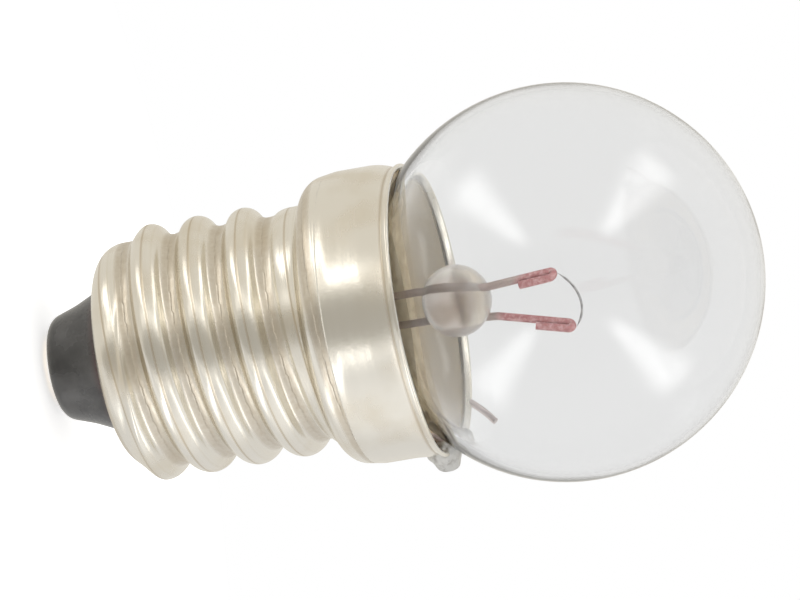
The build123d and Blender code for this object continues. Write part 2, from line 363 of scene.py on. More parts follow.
def spinRing(name, corners, longest, steps, finish):  # a closed outline
    run = joined(roundedRuns(corners, True), longest)
    return spinPlain(name, run + run[:1], steps, finish)


def seat(piece, node):
    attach(piece, "root")
    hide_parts(node)
    print(piece.name, "made with", len(piece.data.polygons), "faces")


# Finishes: a grain's scale is in patches for each metre, and a span is where its pattern fades in

def newFinish(name):
    material = bpy.data.materials.new(name)
    material.use_nodes = True
    material.node_tree.nodes.clear()
    return material, Flow(material.node_tree).node("ShaderNodeTexCoord", {}, {}, "Object")


def closeFinish(flow, sockets, volume=None):
    surface = {"Surface": flow.node("ShaderNodeBsdfPrincipled", {}, sockets)}
    inside = {"Volume": volume} if volume else {}
    flow.node("ShaderNodeOutputMaterial", {}, {**surface, **inside})


def grain(place, pattern):
    return place.node("ShaderNodeTexNoise", {}, {"Vector": place, **pattern}, "Fac")


def bumped(height, relief):
    return height.node("ShaderNodeBump", {}, {"Height": height, **relief}, "Normal")


def meshMark(place, mark):  # a number that the mesh carries
    return place.node("ShaderNodeAttribute", {"attribute_name": mark}, {}, "Fac")


shellSize = {  # millimetres; places and slopes in degrees; the thread's run-in and run-out in turns
    "wall": 0.2,
    "mouthFlange": 0.455,
    "corner": 1.0,
    "plainMouth": 0.3,
    "threadMajor": 9.53,
    "threadDepth": 0.51,
    "threadPitch": 1.814,
    "threadLand": 0.13,
    "threadRootRound": 0.35,
    "threadFoot": 0.12,
    "firstCrest": 2.09,
    "turnsToCrest": 1.5,
    "runInPlace": 40,
    "runInSlope": 48,
    "runInTurns": 0.35,
    "runInReach": 0.15,
    "runOutTurns": 4.05,
    "runOutReach": 0.45,
    "runOutDrop": 0.55,
    "threadedLength": 7.5,
    "shoulderHeight": 1.7,
    "shoulderRound": 0.7,
    "bellShare": 0.8,
    "crownHeight": 0.32,
    "crownDrop": 0.17,
    "crownRound": 1.5,
    "collarHeight": 1.45,
    "turnInHeight": 1.0,
    "turnInWidth": 0.22,
    "turnInShare": 0.9,
    "lipSetIn": 0.06,
    "edgeRound": 0.08,
    "lipBend": 0.32,
    "lipBendPlace": -15,
    "lipBendReach": 45,
    "blend": 0.24,
    "liftBlend": 0.12,
    "cornerSteps": 10,
    "rowHeight": 0.055,
    "insideRows": 2.5,
    "steps": 200,
}

nickelLook = {
    "plate": (0.80, 0.763, 0.682, 1),
    # tarnish colour of the stains and rolled lines, also used for the painted dark reflection along each
    # crest
    "tarnishAndCrestShade": (0.66, 0.58, 0.44, 1),
    # colour of the painted shade in the grooves, the painted dark reflection along the crests and the
    # painted shade at the waist
    "groove": (0.46, 0.38, 0.27, 1),
    "inside": (0.92, 0.84, 0.71, 1),
    "roughness": 0.16,
    "stainGrain": {"Scale": 420, "Detail": 3.0, "Roughness": 0.45},
    "stainSpan": (0.44, 0.74),
    "stainWear": 0.5,
    "stainRoughness": 0.12,
    "markGrain": {"Scale": 5200, "Detail": 4.0, "Roughness": 0.65},
    "markRelief": 0.2,
    "lineGrain": {"Scale": 4200, "Detail": 2.0},
    "lineWander": 0.02 * mm,
    "lineSpan": (0.52, 0.75),
    "lineWear": 0.25,
    "lineRoughness": 0.1,
    "plainLines": 0.12,
    # a painted dark reflection along the middle of each crest; crestRelief is a bump there
    "crestSpan": (0.012 * mm, 0.06 * mm),
    "crestShade": 0.4,
    "crestShadeTint": 0.5,
    "crestRelief": 0.3,
    # painted shade in the thread's grooves, patchy in strength
    "grooveSpan": (0.75, 1.0),
    "grooveShade": 0.2,
    "grooveShadeMarks": 0.6,
    # painted shade along the crease at the waist below the lip
    "foldHeight": 14.2 * mm,
    "foldLine": 0.1 * mm,
    "foldShade": 0.6,
    "shadeRoughness": 0.2,
    "edgeSpan": (14.0 * mm, 14.15 * mm),
    "insideRoughness": 0.4,
    "insideMetal": 0.2,
    "relief": {"Strength": 0.75, "Distance": 0.025 * mm},
}


def makeNickel(look):
    material, place = newFinish("nickelPlate")
    stain = grain(place, look["stainGrain"]).ease(*look["stainSpan"])
    marks = grain(place, look["markGrain"])
    track = meshMark(place, "track")
    lines = {"W": track + marks * look["lineWander"], **look["lineGrain"]}
    rolled = place.node("ShaderNodeTexNoise", {"noise_dimensions": "1D"}, lines, "Fac")
    lined = rolled * (look["plainLines"] + meshMark(place, "threaded") * (1 - look["plainLines"]))
    # 1 along the middle of each crest, where a dark reflection is painted
    crest = 1 - track.math("ABSOLUTE").ease(*look["crestSpan"])
    height = place.part("Z")
    inside = meshMark(place, "inset") / (shellSize["wall"] * mm) * (1 - height.ease(*look["edgeSpan"]))
    # 1 along the waist crease, where shade is painted
    fold = 1 - (height - look["foldHeight"]).math("ABSOLUTE").ease(0.0, look["foldLine"])
    # painted shade that darkens the thread's grooves, in patches of random strength
    grooveShadeStrength = look["grooveShade"] + marks * look["grooveShadeMarks"]
    shadeSum = meshMark(place, "groove").ease(*look["grooveSpan"]) * grooveShadeStrength
    shadeSum = shadeSum + crest * look["crestShade"] + fold * look["foldShade"]
    # painted shade of grooves, crests and waist in one mask, used for colour and roughness
    paintedShade = shadeSum.math("MINIMUM", 1.0)
    # random stains and rolled lines, plus the painted dark reflection along each crest
    worn = stain * look["stainWear"] + lined.ease(*look["lineSpan"]) * look["lineWear"]
    worn = worn + crest * look["crestShadeTint"]
    plated = worn.math("MINIMUM", 1.0).blend(look["plate"], look["tarnishAndCrestShade"])
    colour = inside.blend(paintedShade.blend(plated, look["groove"]), look["inside"])
    outRough = look["roughness"] + stain * look["stainRoughness"]
    outRough = outRough + paintedShade * look["shadeRoughness"] + rolled * look["lineRoughness"]
    rough = outRough + inside * (look["insideRoughness"] - outRough)
    metal = 1 - inside * (1 - look["insideMetal"])
    raised = marks * look["markRelief"] + lined - crest * look["crestRelief"]
    relief = bumped(raised, look["relief"])
    closeFinish(place, {"Base Color": colour, "Metallic": metal, "Roughness": rough, "Normal": relief})
    return material


glassLook = {
    "tint": (0.95, 0.95, 0.95, 1),
    "depthTint": (0.72, 0.95, 0.78, 1),
    "depth": 30.0,
    "ior": 1.45,
    "waveGrain": {"Scale": 260, "Detail": 1.0},
    "relief": {"Strength": 0.05, "Distance": 0.2 * mm},
    "hazeGrain": {"Scale": 1800, "Detail": 4.0},
    "hazeSpan": (0.62, 0.8),
    "haze": 0.02,
}


def makeGlass(look):
    material, place = newFinish("clearGlass")
    depth = {"Color": look["depthTint"], "Density": look["depth"]}
    sockets = {
        "Base Color": look["tint"],
        "Transmission Weight": 1.0,
        "IOR": look["ior"],
        "Roughness": grain(place, look["hazeGrain"]).ease(*look["hazeSpan"]) * look["haze"],
        "Normal": bumped(grain(place, look["waveGrain"]), look["relief"]),
    }
    closeFinish(place, sockets, place.node("ShaderNodeVolumeAbsorption", {}, depth))
    return material


beadLook = {
    "tint": (0.99, 0.95, 0.89, 1),
    # colour of the painted shade on the bead's front face
    "frontShade": (0.34, 0.25, 0.19, 1),
    "streakGrain": {"Scale": 800, "Detail": 1.0},
    "streakSpan": (0.3, 0.7),
    "evenShare": 0.5,
    "faceSpan": (0.6 * mm, 1.1 * mm),
    "waveGrain": {"Scale": 700, "Detail": 0.0},
    "relief": {"Strength": 0.15, "Distance": 0.2 * mm},
    "clear": 0.75,
    "ior": 1.48,
    "roughness": 0.13,
    "streakRoughness": 0.12,
}


def makeBeadGlass(look):  # painted shade, in streaks, on its front face towards the camera
    material, place = newFinish("beadGlass")
    streaks = grain(place, look["streakGrain"])
    facing = 0.0 - place.part("Y")
    # painted shade, streaky, on the face towards the camera
    streakyShade = look["evenShare"] + streaks.ease(*look["streakSpan"]) * (1 - look["evenShare"])
    frontShadeMask = facing.ease(*look["faceSpan"]) * streakyShade
    sockets = {
        "Base Color": frontShadeMask.blend(look["tint"], look["frontShade"]),
        "Transmission Weight": look["clear"],
        "IOR": look["ior"],
        "Roughness": look["roughness"] + streaks * look["streakRoughness"],
        "Normal": bumped(grain(place, look["waveGrain"]), look["relief"]),
    }
    closeFinish(place, sockets)
    return material


leadLook = {
    "bare": (0.45, 0.365, 0.335, 1),
    "coated": (0.34, 0.13, 0.13, 1),
    "dust": (0.52, 0.32, 0.31, 1),
    "dustSpan": (0.4, 0.7),
    "coatSpan": (17.5 * mm, 18.0 * mm),
    "coatLean": 1.1,
    "coatReach": 0.7 * mm,
    "coatUneven": 0.6 * mm,
    "mottleGrain": {"Scale": 6000, "Detail": 4.0, "Roughness": 0.6},
    "relief": {"Strength": 0.3, "Distance": 0.03 * mm},
    "bareMetal": 0.75,
    "coatedMetal": 0.3,
    "roughness": 0.32,
    "mottleRoughness": 0.25,
}


def makeLeadWire(look):  # bare below, with a red coat on the upper ends
    material, place = newFinish("leadWire")
    height = place.part("Z")
    mottle = grain(place, look["mottleGrain"])
    lean = height.other("X").math("MINIMUM", look["coatReach"]) * look["coatLean"]
    level = height + lean + (mottle - 0.5) * look["coatUneven"]
    coated = level.ease(*look["coatSpan"])
    red = mottle.ease(*look["dustSpan"]).blend(look["coated"], look["dust"])
    sockets = {
        "Base Color": coated.blend(look["bare"], red),
        "Metallic": look["bareMetal"] - coated * (look["bareMetal"] - look["coatedMetal"]),
        "Roughness": look["roughness"] + mottle * look["mottleRoughness"],
        "Normal": bumped(mottle, look["relief"]),
    }
    closeFinish(place, sockets)
    return material


blackGlassLook = {
    "body": (0.045, 0.044, 0.042, 1),
    "worn": (0.125, 0.121, 0.116, 1),
    "mouth": (0.10, 0.035, 0.03, 1),
    "mouthSpan": (2.05 * mm, 2.5 * mm),
    "patchGrain": {"Scale": 700, "Detail": 3.0},
    "wornSpan": (0.3, 0.8),
    "patchRelief": 0.7,
    "pitGrain": {"Scale": 5200, "Detail": 3.0},
    "pitRelief": 0.3,
    "relief": {"Strength": 0.35, "Distance": 0.06 * mm},
    "ior": 1.52,
    "roughness": 0.14,
    "patchRoughness": 0.25,
}


def makeBlackGlass(look):
    material, place = newFinish("blackGlass")
    patches = grain(place, look["patchGrain"])
    pits = grain(place, look["pitGrain"])
    black = patches.ease(*look["wornSpan"]).blend(look["body"], look["worn"])
    nearMouth = place.part("Z").ease(*look["mouthSpan"]) * patches
    raised = patches * look["patchRelief"] + pits * look["pitRelief"]
    sockets = {
        "Base Color": nearMouth.blend(black, look["mouth"]),
        "Roughness": look["roughness"] + patches * look["patchRoughness"],
        "IOR": look["ior"],
        "Normal": bumped(raised, look["relief"]),
    }
    closeFinish(place, sockets)
    return material


tungstenLook = {
    "light": (0.52, 0.50, 0.49, 1),
    "dark": (0.28, 0.27, 0.27, 1),
    "grain": {"Scale": 4000, "Detail": 3.0},
    "span": (0.35, 0.65),
    "metal": 0.8,
    "roughness": 0.35,
    "grainRoughness": 0.3,
}

brassLook = {
    "light": (0.72, 0.56, 0.30, 1),
    "dark": (0.45, 0.32, 0.17, 1),
    "grain": {"Scale": 1500, "Detail": 5.0, "Roughness": 0.6},
    "span": (0.4, 0.7),
    "metal": 1.0,
    "roughness": 0.25,
    "grainRoughness": 0.3,
    "relief": {"Strength": 0.2, "Distance": 0.03 * mm},
}

solderLook = {
    "light": (0.66, 0.65, 0.62, 1),
    "dark": (0.38, 0.36, 0.33, 1),
    "grain": {"Scale": 3000, "Detail": 5.0, "Roughness": 0.65},
    "span": (0.45, 0.72),
    "metal": 0.85,
    "roughness": 0.32,
    "grainRoughness": 0.3,
    "relief": {"Strength": 0.45, "Distance": 0.08 * mm},
}

cementLook = {
    "light": (0.94, 0.81, 0.58, 1),
    "dark": (0.76, 0.62, 0.41, 1),
    "grain": {"Scale": 1600, "Detail": 6.0, "Roughness": 0.65},
    "span": (0.35, 0.68),
    "metal": 0.0,
    "roughness": 0.8,
    "relief": {"Strength": 0.6, "Distance": 0.12 * mm},
}


def makeMottled(name, look):  # two colours in patches
    material, place = newFinish(name)
    patches = grain(place, look["grain"])
    sockets = {
        "Base Color": patches.ease(*look["span"]).blend(look["light"], look["dark"]),
        "Metallic": look["metal"],
        "Roughness": look["roughness"],
    }
    if "grainRoughness" in look:
        sockets["Roughness"] = look["roughness"] + patches * look["grainRoughness"]
    if "relief" in look:
        sockets["Normal"] = bumped(patches, look["relief"])
    closeFinish(place, sockets)
    return material


nickel = makeNickel(nickelLook)
glass = makeGlass(glassLook)
beadGlass = makeBeadGlass(beadLook)
leadWire = makeLeadWire(leadLook)
blackGlass = makeBlackGlass(blackGlassLook)
tungsten = makeMottled("tungstenCoil", tungstenLook)
brass = makeMottled("contactBrass", brassLook)
solder = makeMottled("dullSolder", solderLook)
cement = makeMottled("brownCement", cementLook)
print("finishes made")


# Screw shell: one sheet, turned in at the mouth, rolled to a thread, belled out to the collar and lip

def makeShell(size):
    low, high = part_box("screw_shell")
    edge = low.z / mm
    rim = high.z / mm
    collar = high.x / mm
    root = size["threadMajor"] / 2 - size["threadDepth"]
    mouth = root - size["corner"] - size["mouthFlange"]
    shoulderStart = edge + size["threadedLength"]
    shoulderTop = shoulderStart + size["shoulderHeight"]
    collarTop = shoulderTop + size["collarHeight"]
    waist = collar - size["turnInWidth"]
    lip = collar - size["lipSetIn"]
    halfTurn = atan((collar - root) / size["shoulderHeight"])
    bellRound = size["shoulderHeight"] / sin(2 * halfTurn) - size["shoulderRound"]
    bellFoot = shoulderTop - bellRound * tan(halfTurn)
    halfTurnIn = atan(size["turnInWidth"] / size["turnInHeight"])
    turnInRound = size["turnInHeight"] / sin(2 * halfTurnIn)
    outer = [
        (mouth, edge, size["edgeRound"]),
        (root, edge, size["corner"]),
        (root, shoulderStart + size["shoulderRound"] * tan(halfTurn), size["shoulderRound"]),
        (collar - size["crownDrop"], bellFoot, bellRound * size["bellShare"]),
        (collar, shoulderTop + size["crownHeight"], size["crownRound"]),
        (collar, collarTop + turnInRound * tan(halfTurnIn), turnInRound * size["turnInShare"]),
        (waist, collarTop + size["turnInHeight"], size["edgeRound"]),
        (lip, rim, size["edgeRound"]),
    ]
    inner = insetCorners(outer, size["wall"])
    inner[-1] = (lip - size["wall"], rim, size["edgeRound"])
    inner[0] = (*inner[0][:2], size["edgeRound"])
    runs = roundedRuns(outer + inner[::-1], True, size["cornerSteps"])
    outside = joined(runs[:len(outer)], size["rowHeight"])
    inside = joined(runs[len(outer):], size["insideRows"] * size["rowHeight"])
    threadEdge = mouth + size["plainMouth"]

    def threadedRuns(points, inset):
        return [([point], float(point.x > threadEdge and point.y < shoulderTop), inset) for point in points]

    halfWidth = (size["threadPitch"] - size["threadLand"]) / 2
    flank = 2 * atan(size["threadDepth"] / halfWidth)
    crestRound = halfWidth / sin(flank) - size["threadRootRound"]
    cornerMiddle = root - size["corner"]
    place = radians(size["runInPlace"])
    growth = tan(radians(size["runInSlope"]))
    lengths = {
        "Pitch": size["threadPitch"],
        "Start": edge + size["firstCrest"] - size["turnsToCrest"] * size["threadPitch"],
        "Half Width": halfWidth,
        "Depth": size["threadDepth"],
        "Crest Round": crestRound,
        "Root Round": size["threadRootRound"],
        "Crest Half": crestRound * sin(flank),
        "Root Radius": root,
        "Cone Radius": cornerMiddle + size["corner"] * cos(place),
        "Cone Height": edge + size["corner"] - size["corner"] * sin(place),
        "Cone Shift": growth * size["threadPitch"] / 4,  # leans half a pitch from side to side
        "Foot": size["threadFoot"],
        "Blend": size["blend"],
        "Lift Blend": size["liftBlend"],
        "Bend": size["lipBend"],
        "Bend Foot": collarTop,
        "Bend Top": rim,
    }
    values = {name: length * mm for name, length in lengths.items()}
    values["Cone Growth"] = growth
    values["Cone Inset"] = cos(place) + growth * sin(place)
    values["Run In"] = size["runInTurns"]
    values["Run In Reach"] = size["runInReach"]
    values["Run Out"] = size["runOutTurns"]
    values["Run Out Reach"] = size["runOutReach"]
    values["Run Out Drop"] = size["runOutDrop"]
    values["Bend Place"] = size["lipBendPlace"] / 360
    values["Bend Reach"] = size["lipBendReach"] / 360
    values["Finish"] = nickel
    stretches = threadedRuns(outside, 0.0) + threadedRuns(inside, size["wall"])
    stretches.append(([outside[0]], 0.0, 0.0))
    shell = spinPiece("screwShell", stretches, size["steps"], nickel, [(threadTree, values)])
    seat(shell, "screw_shell")


makeShell(shellSize)


# Glass bulb: globe, throat, neck, butt seal and exhaust tip
bulbSize = {  # millimetres
    "wall": 0.4,
    "topWall": 0.18,
    "thinning": 3,
    "neckRadius": 3.9,
    "neckBottom": 11.5,
    "neckRound": 0.8,
    "neckInnerRound": 0.6,
    "throatRound": 1.2,
    "sealBottom": 8.2,
    "sealFloor": 9.2,
    "sealRadius": 1.7,
    "sealRound": 0.35,
    "sealInnerRound": 0.4,
    "tipRadius": 0.5,
    "tipRound": 0.3,
    "tipRootRound": 0.2,
    "throatSteps": 12,
    "ballSteps": 96,
    "longestStep": 0.4,
    "steps": 144,
}


def makeBulb(size):
    low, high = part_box("glass_bulb")
    globe = high.x / mm
    centre = high.z / mm - globe
    tipEnd = low.z / mm
    neck = size["neckRadius"]
    throatX = neck + size["throatRound"]
    throatZ = centre - sqrt((globe + size["throatRound"]) ** 2 - throatX ** 2)
    meet = degrees(atan2(throatZ - centre, throatX))

    def wallRun(wall, topWall, foot):  # the globe's wall thins from its throat to its top
        stem = [point for run in roundedRuns(foot, False) for point in run]
        throatReach = size["throatRound"] + wall
        throat = arcRun((throatX, throatZ), throatReach, 180, 180 + meet, size["throatSteps"])
        ball = []
        for step in range(1, size["ballSteps"] + 1):
            share = 1 - step / size["ballSteps"]
            angle = radians(90 - share * (90 - meet))
            reach = globe - topWall - (wall - topWall) * share ** size["thinning"]
            ball.append(Vector((reach * cos(angle), centre + reach * sin(angle))))
        return joined([stem, throat, ball], size["longestStep"])

    outerFoot = [
        (0, tipEnd, 0),
        (size["tipRadius"], tipEnd + size["tipRadius"], size["tipRound"]),
        (size["tipRadius"], size["sealBottom"], size["tipRootRound"]),
        (size["sealRadius"], size["sealBottom"], size["sealRound"]),
        (neck, size["neckBottom"], size["neckRound"]),
        (neck, throatZ, 0),
    ]
    innerFoot = [
        (0, size["sealFloor"], 0),
        (size["sealRadius"], size["sealFloor"], size["sealInnerRound"]),
        (neck - size["wall"], size["neckBottom"], size["neckInnerRound"]),
        (neck - size["wall"], throatZ, 0),
    ]
    outside = wallRun(0, 0, outerFoot)
    inside = wallRun(size["wall"], size["topWall"], innerFoot)[::-1]
    outer = spinPlain("glassBulb", outside, size["steps"], glass)
    inner = spinPlain("glassInside", inside, size["steps"], glass)
    mesh = bmesh.new()
    mesh.from_mesh(outer.data)
    mesh.from_mesh(inner.data)
    mesh.to_mesh(outer.data)
    mesh.free()
    bpy.data.objects.remove(inner)
    seat(outer, "glass_bulb")
    return Vector((0, 0, centre * mm))


globeCentre = makeBulb(bulbSize)


# Black insulator, its contact plate and the solder dome
endSize = {  # millimetres
    "mouthClearance": 0.02,
    "plateRadius": 1.15,
    "holeRadius": 0.4,
    "plateHole": 0.2,
    "tipRadius": 1.85,
    "tipRound": 0.6,
    "flankHollow": 0.07,
    "flankRound": 4.0,
    "edgeRound": 0.04,
    "solderRadius": 0.75,
    "domeSteps": 16,
    "longestStep": 0.3,
    "fineStep": 0.2,
    "steps": 120,
}


def makeCapEnd(size):
    low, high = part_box("insulator")
    tip = low.z / mm
    top = high.z / mm
    side = high.x / mm
    plateLow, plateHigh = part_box("contact_plate")
    plateTop = plateHigh.z / mm
    plateFace = plateLow.z / mm
    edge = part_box("screw_shell")[0].z / mm
    wall = shellSize["wall"] + size["mouthClearance"]
    root = shellSize["threadMajor"] / 2 - shellSize["threadDepth"]
    cornerMiddle = root - shellSize["corner"]
    mouth = cornerMiddle - shellSize["mouthFlange"] - size["mouthClearance"]
    hollow = Vector(((size["tipRadius"] + mouth) / 2 - size["flankHollow"], (tip + edge) / 2))
    bodyCorners = [
        (size["plateRadius"], tip, size["edgeRound"]),
        (size["tipRadius"], tip, size["tipRound"]),
        (hollow.x, hollow.y, size["flankRound"]),
        (mouth, edge, size["edgeRound"]),
        (mouth, edge + wall, size["edgeRound"]),
        (side, edge + wall, shellSize["corner"] - wall),
        (side, top, size["edgeRound"]),
        (size["holeRadius"], top, size["edgeRound"]),
        (size["holeRadius"], plateTop, size["edgeRound"]),
        (size["plateRadius"], plateTop, size["edgeRound"]),
    ]
    body = spinRing("insulatorEnd", bodyCorners, size["longestStep"], size["steps"], blackGlass)
    seat(body, "insulator")
    plateCorners = [
        (size["plateHole"], plateFace, size["edgeRound"]),
        (size["plateRadius"], plateFace, size["edgeRound"]),
        (size["plateRadius"], plateTop, size["edgeRound"]),
        (size["plateHole"], plateTop, size["edgeRound"]),
    ]
    plate = spinRing("contactPlate", plateCorners, size["fineStep"], size["steps"], brass)
    seat(plate, "contact_plate")
    reach = size["solderRadius"]
    bow = (reach ** 2 + plateFace ** 2) / (2 * plateFace)
    edgeTurn = degrees(atan2(plateFace - bow, reach))
    dome = arcRun((0, bow), bow, -90, edgeTurn, size["domeSteps"])
    lid = [Vector((reach, plateFace)), Vector((0, plateFace))]
    drop = spinPlain("centreSolder", joined([dome[:-1], lid], size["fineStep"]), size["steps"], solder)
    seat(drop, "centre_solder")


makeCapEnd(endSize)


# Cement ring between the neck and the collar
cementSize = {  # millimetres
    "foot": 4.5,
    "edgeRound": 0.12,
    "creepRound": 0.02,
    "meniscus": 0.18,
    "meniscusRound": 0.8,
    "longestStep": 0.2,
    "steps": 96,
}


def makeCementRing(size):
    low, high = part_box("basing_cement")
    top = high.z / mm
    bottom = low.z / mm
    shellLow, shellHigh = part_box("screw_shell")
    bore = shellHigh.x / mm - shellSize["wall"]
    shoulder = shellLow.z / mm + shellSize["threadedLength"] + shellSize["shoulderHeight"]
    neck = bulbSize["neckRadius"]
    taper = (neck - bulbSize["sealRadius"]) / (bulbSize["neckBottom"] - bulbSize["sealBottom"])
    corners = [
        (neck - (bulbSize["neckBottom"] - bottom) * taper, bottom, size["edgeRound"]),
        (size["foot"], bottom, size["edgeRound"]),
        (bore, shoulder, size["edgeRound"]),
        (bore, top, size["creepRound"]),
        ((neck + bore) / 2, top - size["meniscus"], size["meniscusRound"]),
        (neck, top, size["creepRound"]),
        (neck, bulbSize["neckBottom"], size["edgeRound"]),
    ]
    ring = spinRing("cementRing", corners, size["longestStep"], size["steps"], cement)
    seat(ring, "basing_cement")


makeCementRing(cementSize)


# Lumps: the bead that holds the leads, and the solder drop on the rim
beadShape = {"uneven": 0.03, "lumpScale": 0.9, "divisions": 5}

dropShape = {
    "uneven": 0.2,
    "lumpScale": 1.5,
    "divisions": 5,
    "thin": 0.85,
    "inward": 0.5,
    "smear": 1.3,
    "low": 0.5,
    "sag": 0.12 * mm,
    "glassGap": 0.01 * mm,
}


def lumpMesh(name, centre, radius, shape, finish):
    mesh = bmesh.new()
    bmesh.ops.create_icosphere(mesh, subdivisions=shape["divisions"], radius=radius)
    for vertex in mesh.verts:
        side = vertex.co / radius
        vertex.co *= 1 + shape["uneven"] * noise.noise(side * shape["lumpScale"] + centre / mm)
        vertex.co += centre
    made = bpy.data.meshes.new(name)
    mesh.to_mesh(made)
    mesh.free()
    made.materials.append(finish)
    made.shade_smooth()
    return made


def makeBead(shape):
    low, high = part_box("glass_bead")
    radius = (high.z - low.z) / 2 * (1 - shape["uneven"])
    made = lumpMesh("beadLump", (low + high) / 2, radius, shape, beadGlass)
    bead = newPiece("glassBead", made)
    seat(bead, "glass_bead")


def makeSideSolder(shape):  # thin outwards, smeared along the rim, low, and ends at the glass
    low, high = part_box("side_solder")
    radius = (high.y - low.y) / 2
    foot = low.z + radius - shape["sag"]
    centre = Vector((high.x - radius * shape["thin"], (low.y + high.y) / 2, foot))
    made = lumpMesh("solderLump", centre, radius, shape, solder)
    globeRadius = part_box("glass_bulb")[1].x + shape["glassGap"]
    for vertex in made.vertices:
        aside = vertex.co - centre
        rise = aside.z * shape["low"] if aside.z > 0 else aside.z
        reach = aside.x * shape["thin"] if aside.x > 0 else aside.x * shape["inward"]
        vertex.co = centre + Vector((reach, aside.y * shape["smear"], rise))
        away = vertex.co - globeCentre
        if away.length < globeRadius:
            vertex.co = globeCentre + away.normalized() * globeRadius
    drop = newPiece("sideSolder", made)
    seat(drop, "side_solder")


makeBead(beadShape)
makeSideSolder(dropShape)


# Filament: a fine coil, bare at its ends, arched between the two hooks
filamentSize = {
    "coilRadius": 0.045 * mm,
    "wireRadius": 0.01 * mm,
    "wireSides": 6,
    "turns": 76,
    "points": 1100,
    "bareShare": 0.14,
    "endShare": 0.85,
}


def makeFilament(size):
    low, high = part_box("filament")
    margin = size["coilRadius"] * size["endShare"]
    start = low + Vector((margin, margin, margin))
    end = Vector((high.x - margin, high.y - margin, start.z))
    half = (end - start).length / 2
    rise = high.z - size["coilRadius"] - start.z
    bow = (half ** 2 + rise ** 2) / (2 * rise)
    values = {
        "Turns": float(size["turns"]),
        "Coil Radius": size["coilRadius"] - size["wireRadius"],
        "Wire Radius": size["wireRadius"],
        "Middle X": (start.x + end.x) / 2,
        "Middle Y": (start.y + end.y) / 2,
        "Arch Centre": start.z + rise - bow,
        "Arch Radius": bow,
        "Half Sweep": atan2(half, bow - rise),
        "Plane Angle": atan2(end.y - start.y, end.x - start.x),
        "Bare Share": size["bareShare"],
        "Points": size["points"],
        "Sides": size["wireSides"],
        "Finish": tungsten,
    }
    coil = newPiece("filamentCoil", bpy.data.meshes.new("filamentCoil"))
    runTrees(coil, [(coilTree, values)])
    seat(coil, "filament")


makeFilament(filamentSize)

for name in ("lead_centre", "lead_shell"):
    frame["nodes"][name].data.materials.clear()
    frame["nodes"][name].data.materials.append(leadWire)
print("leads dressed")


# The second lead's free end, which leans on the glass inside the rim
wireEndSize = {  # each point of the route: degrees round the axis, then radius and height in millimetres
    "radius": 0.16,
    "bevelSteps": 4,
    "route": ((40.5, 5.27, 14.4), (39.5, 5.5, 14.68), (38.5, 5.76, 14.95), (35.5, 6.07, 15.34)),
    "bare": (0.66, 0.56, 0.53, 1),
}


def makeWireEnd(size):
    curve = bpy.data.curves.new("leadEnd", "CURVE")
    curve.dimensions = "3D"
    curve.bevel_depth = size["radius"] * mm
    curve.bevel_resolution = size["bevelSteps"]
    curve.use_fill_caps = True
    strand = curve.splines.new("BEZIER")
    strand.bezier_points.add(len(size["route"]) - 1)
    for point, (turn, reach, height) in zip(strand.bezier_points, size["route"]):
        point.co = Vector((reach * cos(radians(turn)), reach * sin(radians(turn)), height)) * mm
        point.handle_left_type = "AUTO"
        point.handle_right_type = "AUTO"
    shaped = newPiece("leadEndCurve", curve)
    bpy.context.view_layer.update()
    made = bpy.data.meshes.new_from_object(shaped.evaluated_get(bpy.context.evaluated_depsgraph_get()))
    bpy.data.objects.remove(shaped)
    made.materials.clear()
    made.materials.append(makeLeadWire({**leadLook, "bare": size["bare"]}))
    made.shade_smooth()
    end = newPiece("leadEnd", made)
    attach(end, "root")
    print("leadEnd made with", len(made.polygons), "faces")


makeWireEnd(wireEndSize)


# Camera: the lamp's axis lies across the picture, turned a little up to the right
cameraView = {  # degrees, metres and pixels; the sensor is in millimetres
    "elevation": 12.0,
    "roll": 9.75,
    "distance": 0.35,
    "pixelsPerMetre": 27030,
    "globePixel": (565.5, 282.2),
    "imageSize": (800, 600),
    "sensorWidth": 36,
}


def makeCamera(view):
    tilt = radians(view["elevation"])
    roll = radians(view["roll"])
    back = Vector((0, -cos(tilt), sin(tilt)))
    lampUp = Vector((0, sin(tilt), cos(tilt)))
    side = Vector((1, 0, 0))
    right = side * sin(roll) + lampUp * cos(roll)
    up = lampUp * sin(roll) - side * cos(roll)
    scale = view["pixelsPerMetre"]
    width, height = view["imageSize"]
    offset = right * ((view["globePixel"][0] - width / 2) / scale)
    offset += up * ((height / 2 - view["globePixel"][1]) / scale)
    data = bpy.data.cameras.new("photoCamera")
    data.sensor_width = view["sensorWidth"]
    data.lens = scale * view["distance"] * data.sensor_width / width
    camera = newPiece("photoCamera", data)
    turned = Matrix((right, up, back)).transposed().to_4x4()
    camera.matrix_world = Matrix.Translation(globeCentre + back * view["distance"] - offset) @ turned
    scene.camera = camera
    return right, up, back


pictureRight, pictureUp, towardsCamera = makeCamera(cameraView)
print("camera placed")


# Studio: a white ground, a small white table, soft cards round the camera and a lamp overhead
worldLight = {  # strengths, by the way that a ray takes; spans are shares of a level direction
    "ground": 1.0,
    "backdrop": 0.86,
    "fill": 0.75,
    "fillInside": 2.1,
    "glossSide": 0.82,
    "glossLow": 1.02,
    "glossFront": 0.5,
    "glossWarm": (1.0, 0.965, 0.89, 1),
    "lowSpan": (0.6, 0.98),
    "lowFrontSpan": (-0.5, 0.1),
    "frontSpan": (0.88, 0.985),
    "warmSpan": (0.0, 0.8),
    "leastLevel": 0.001,
}


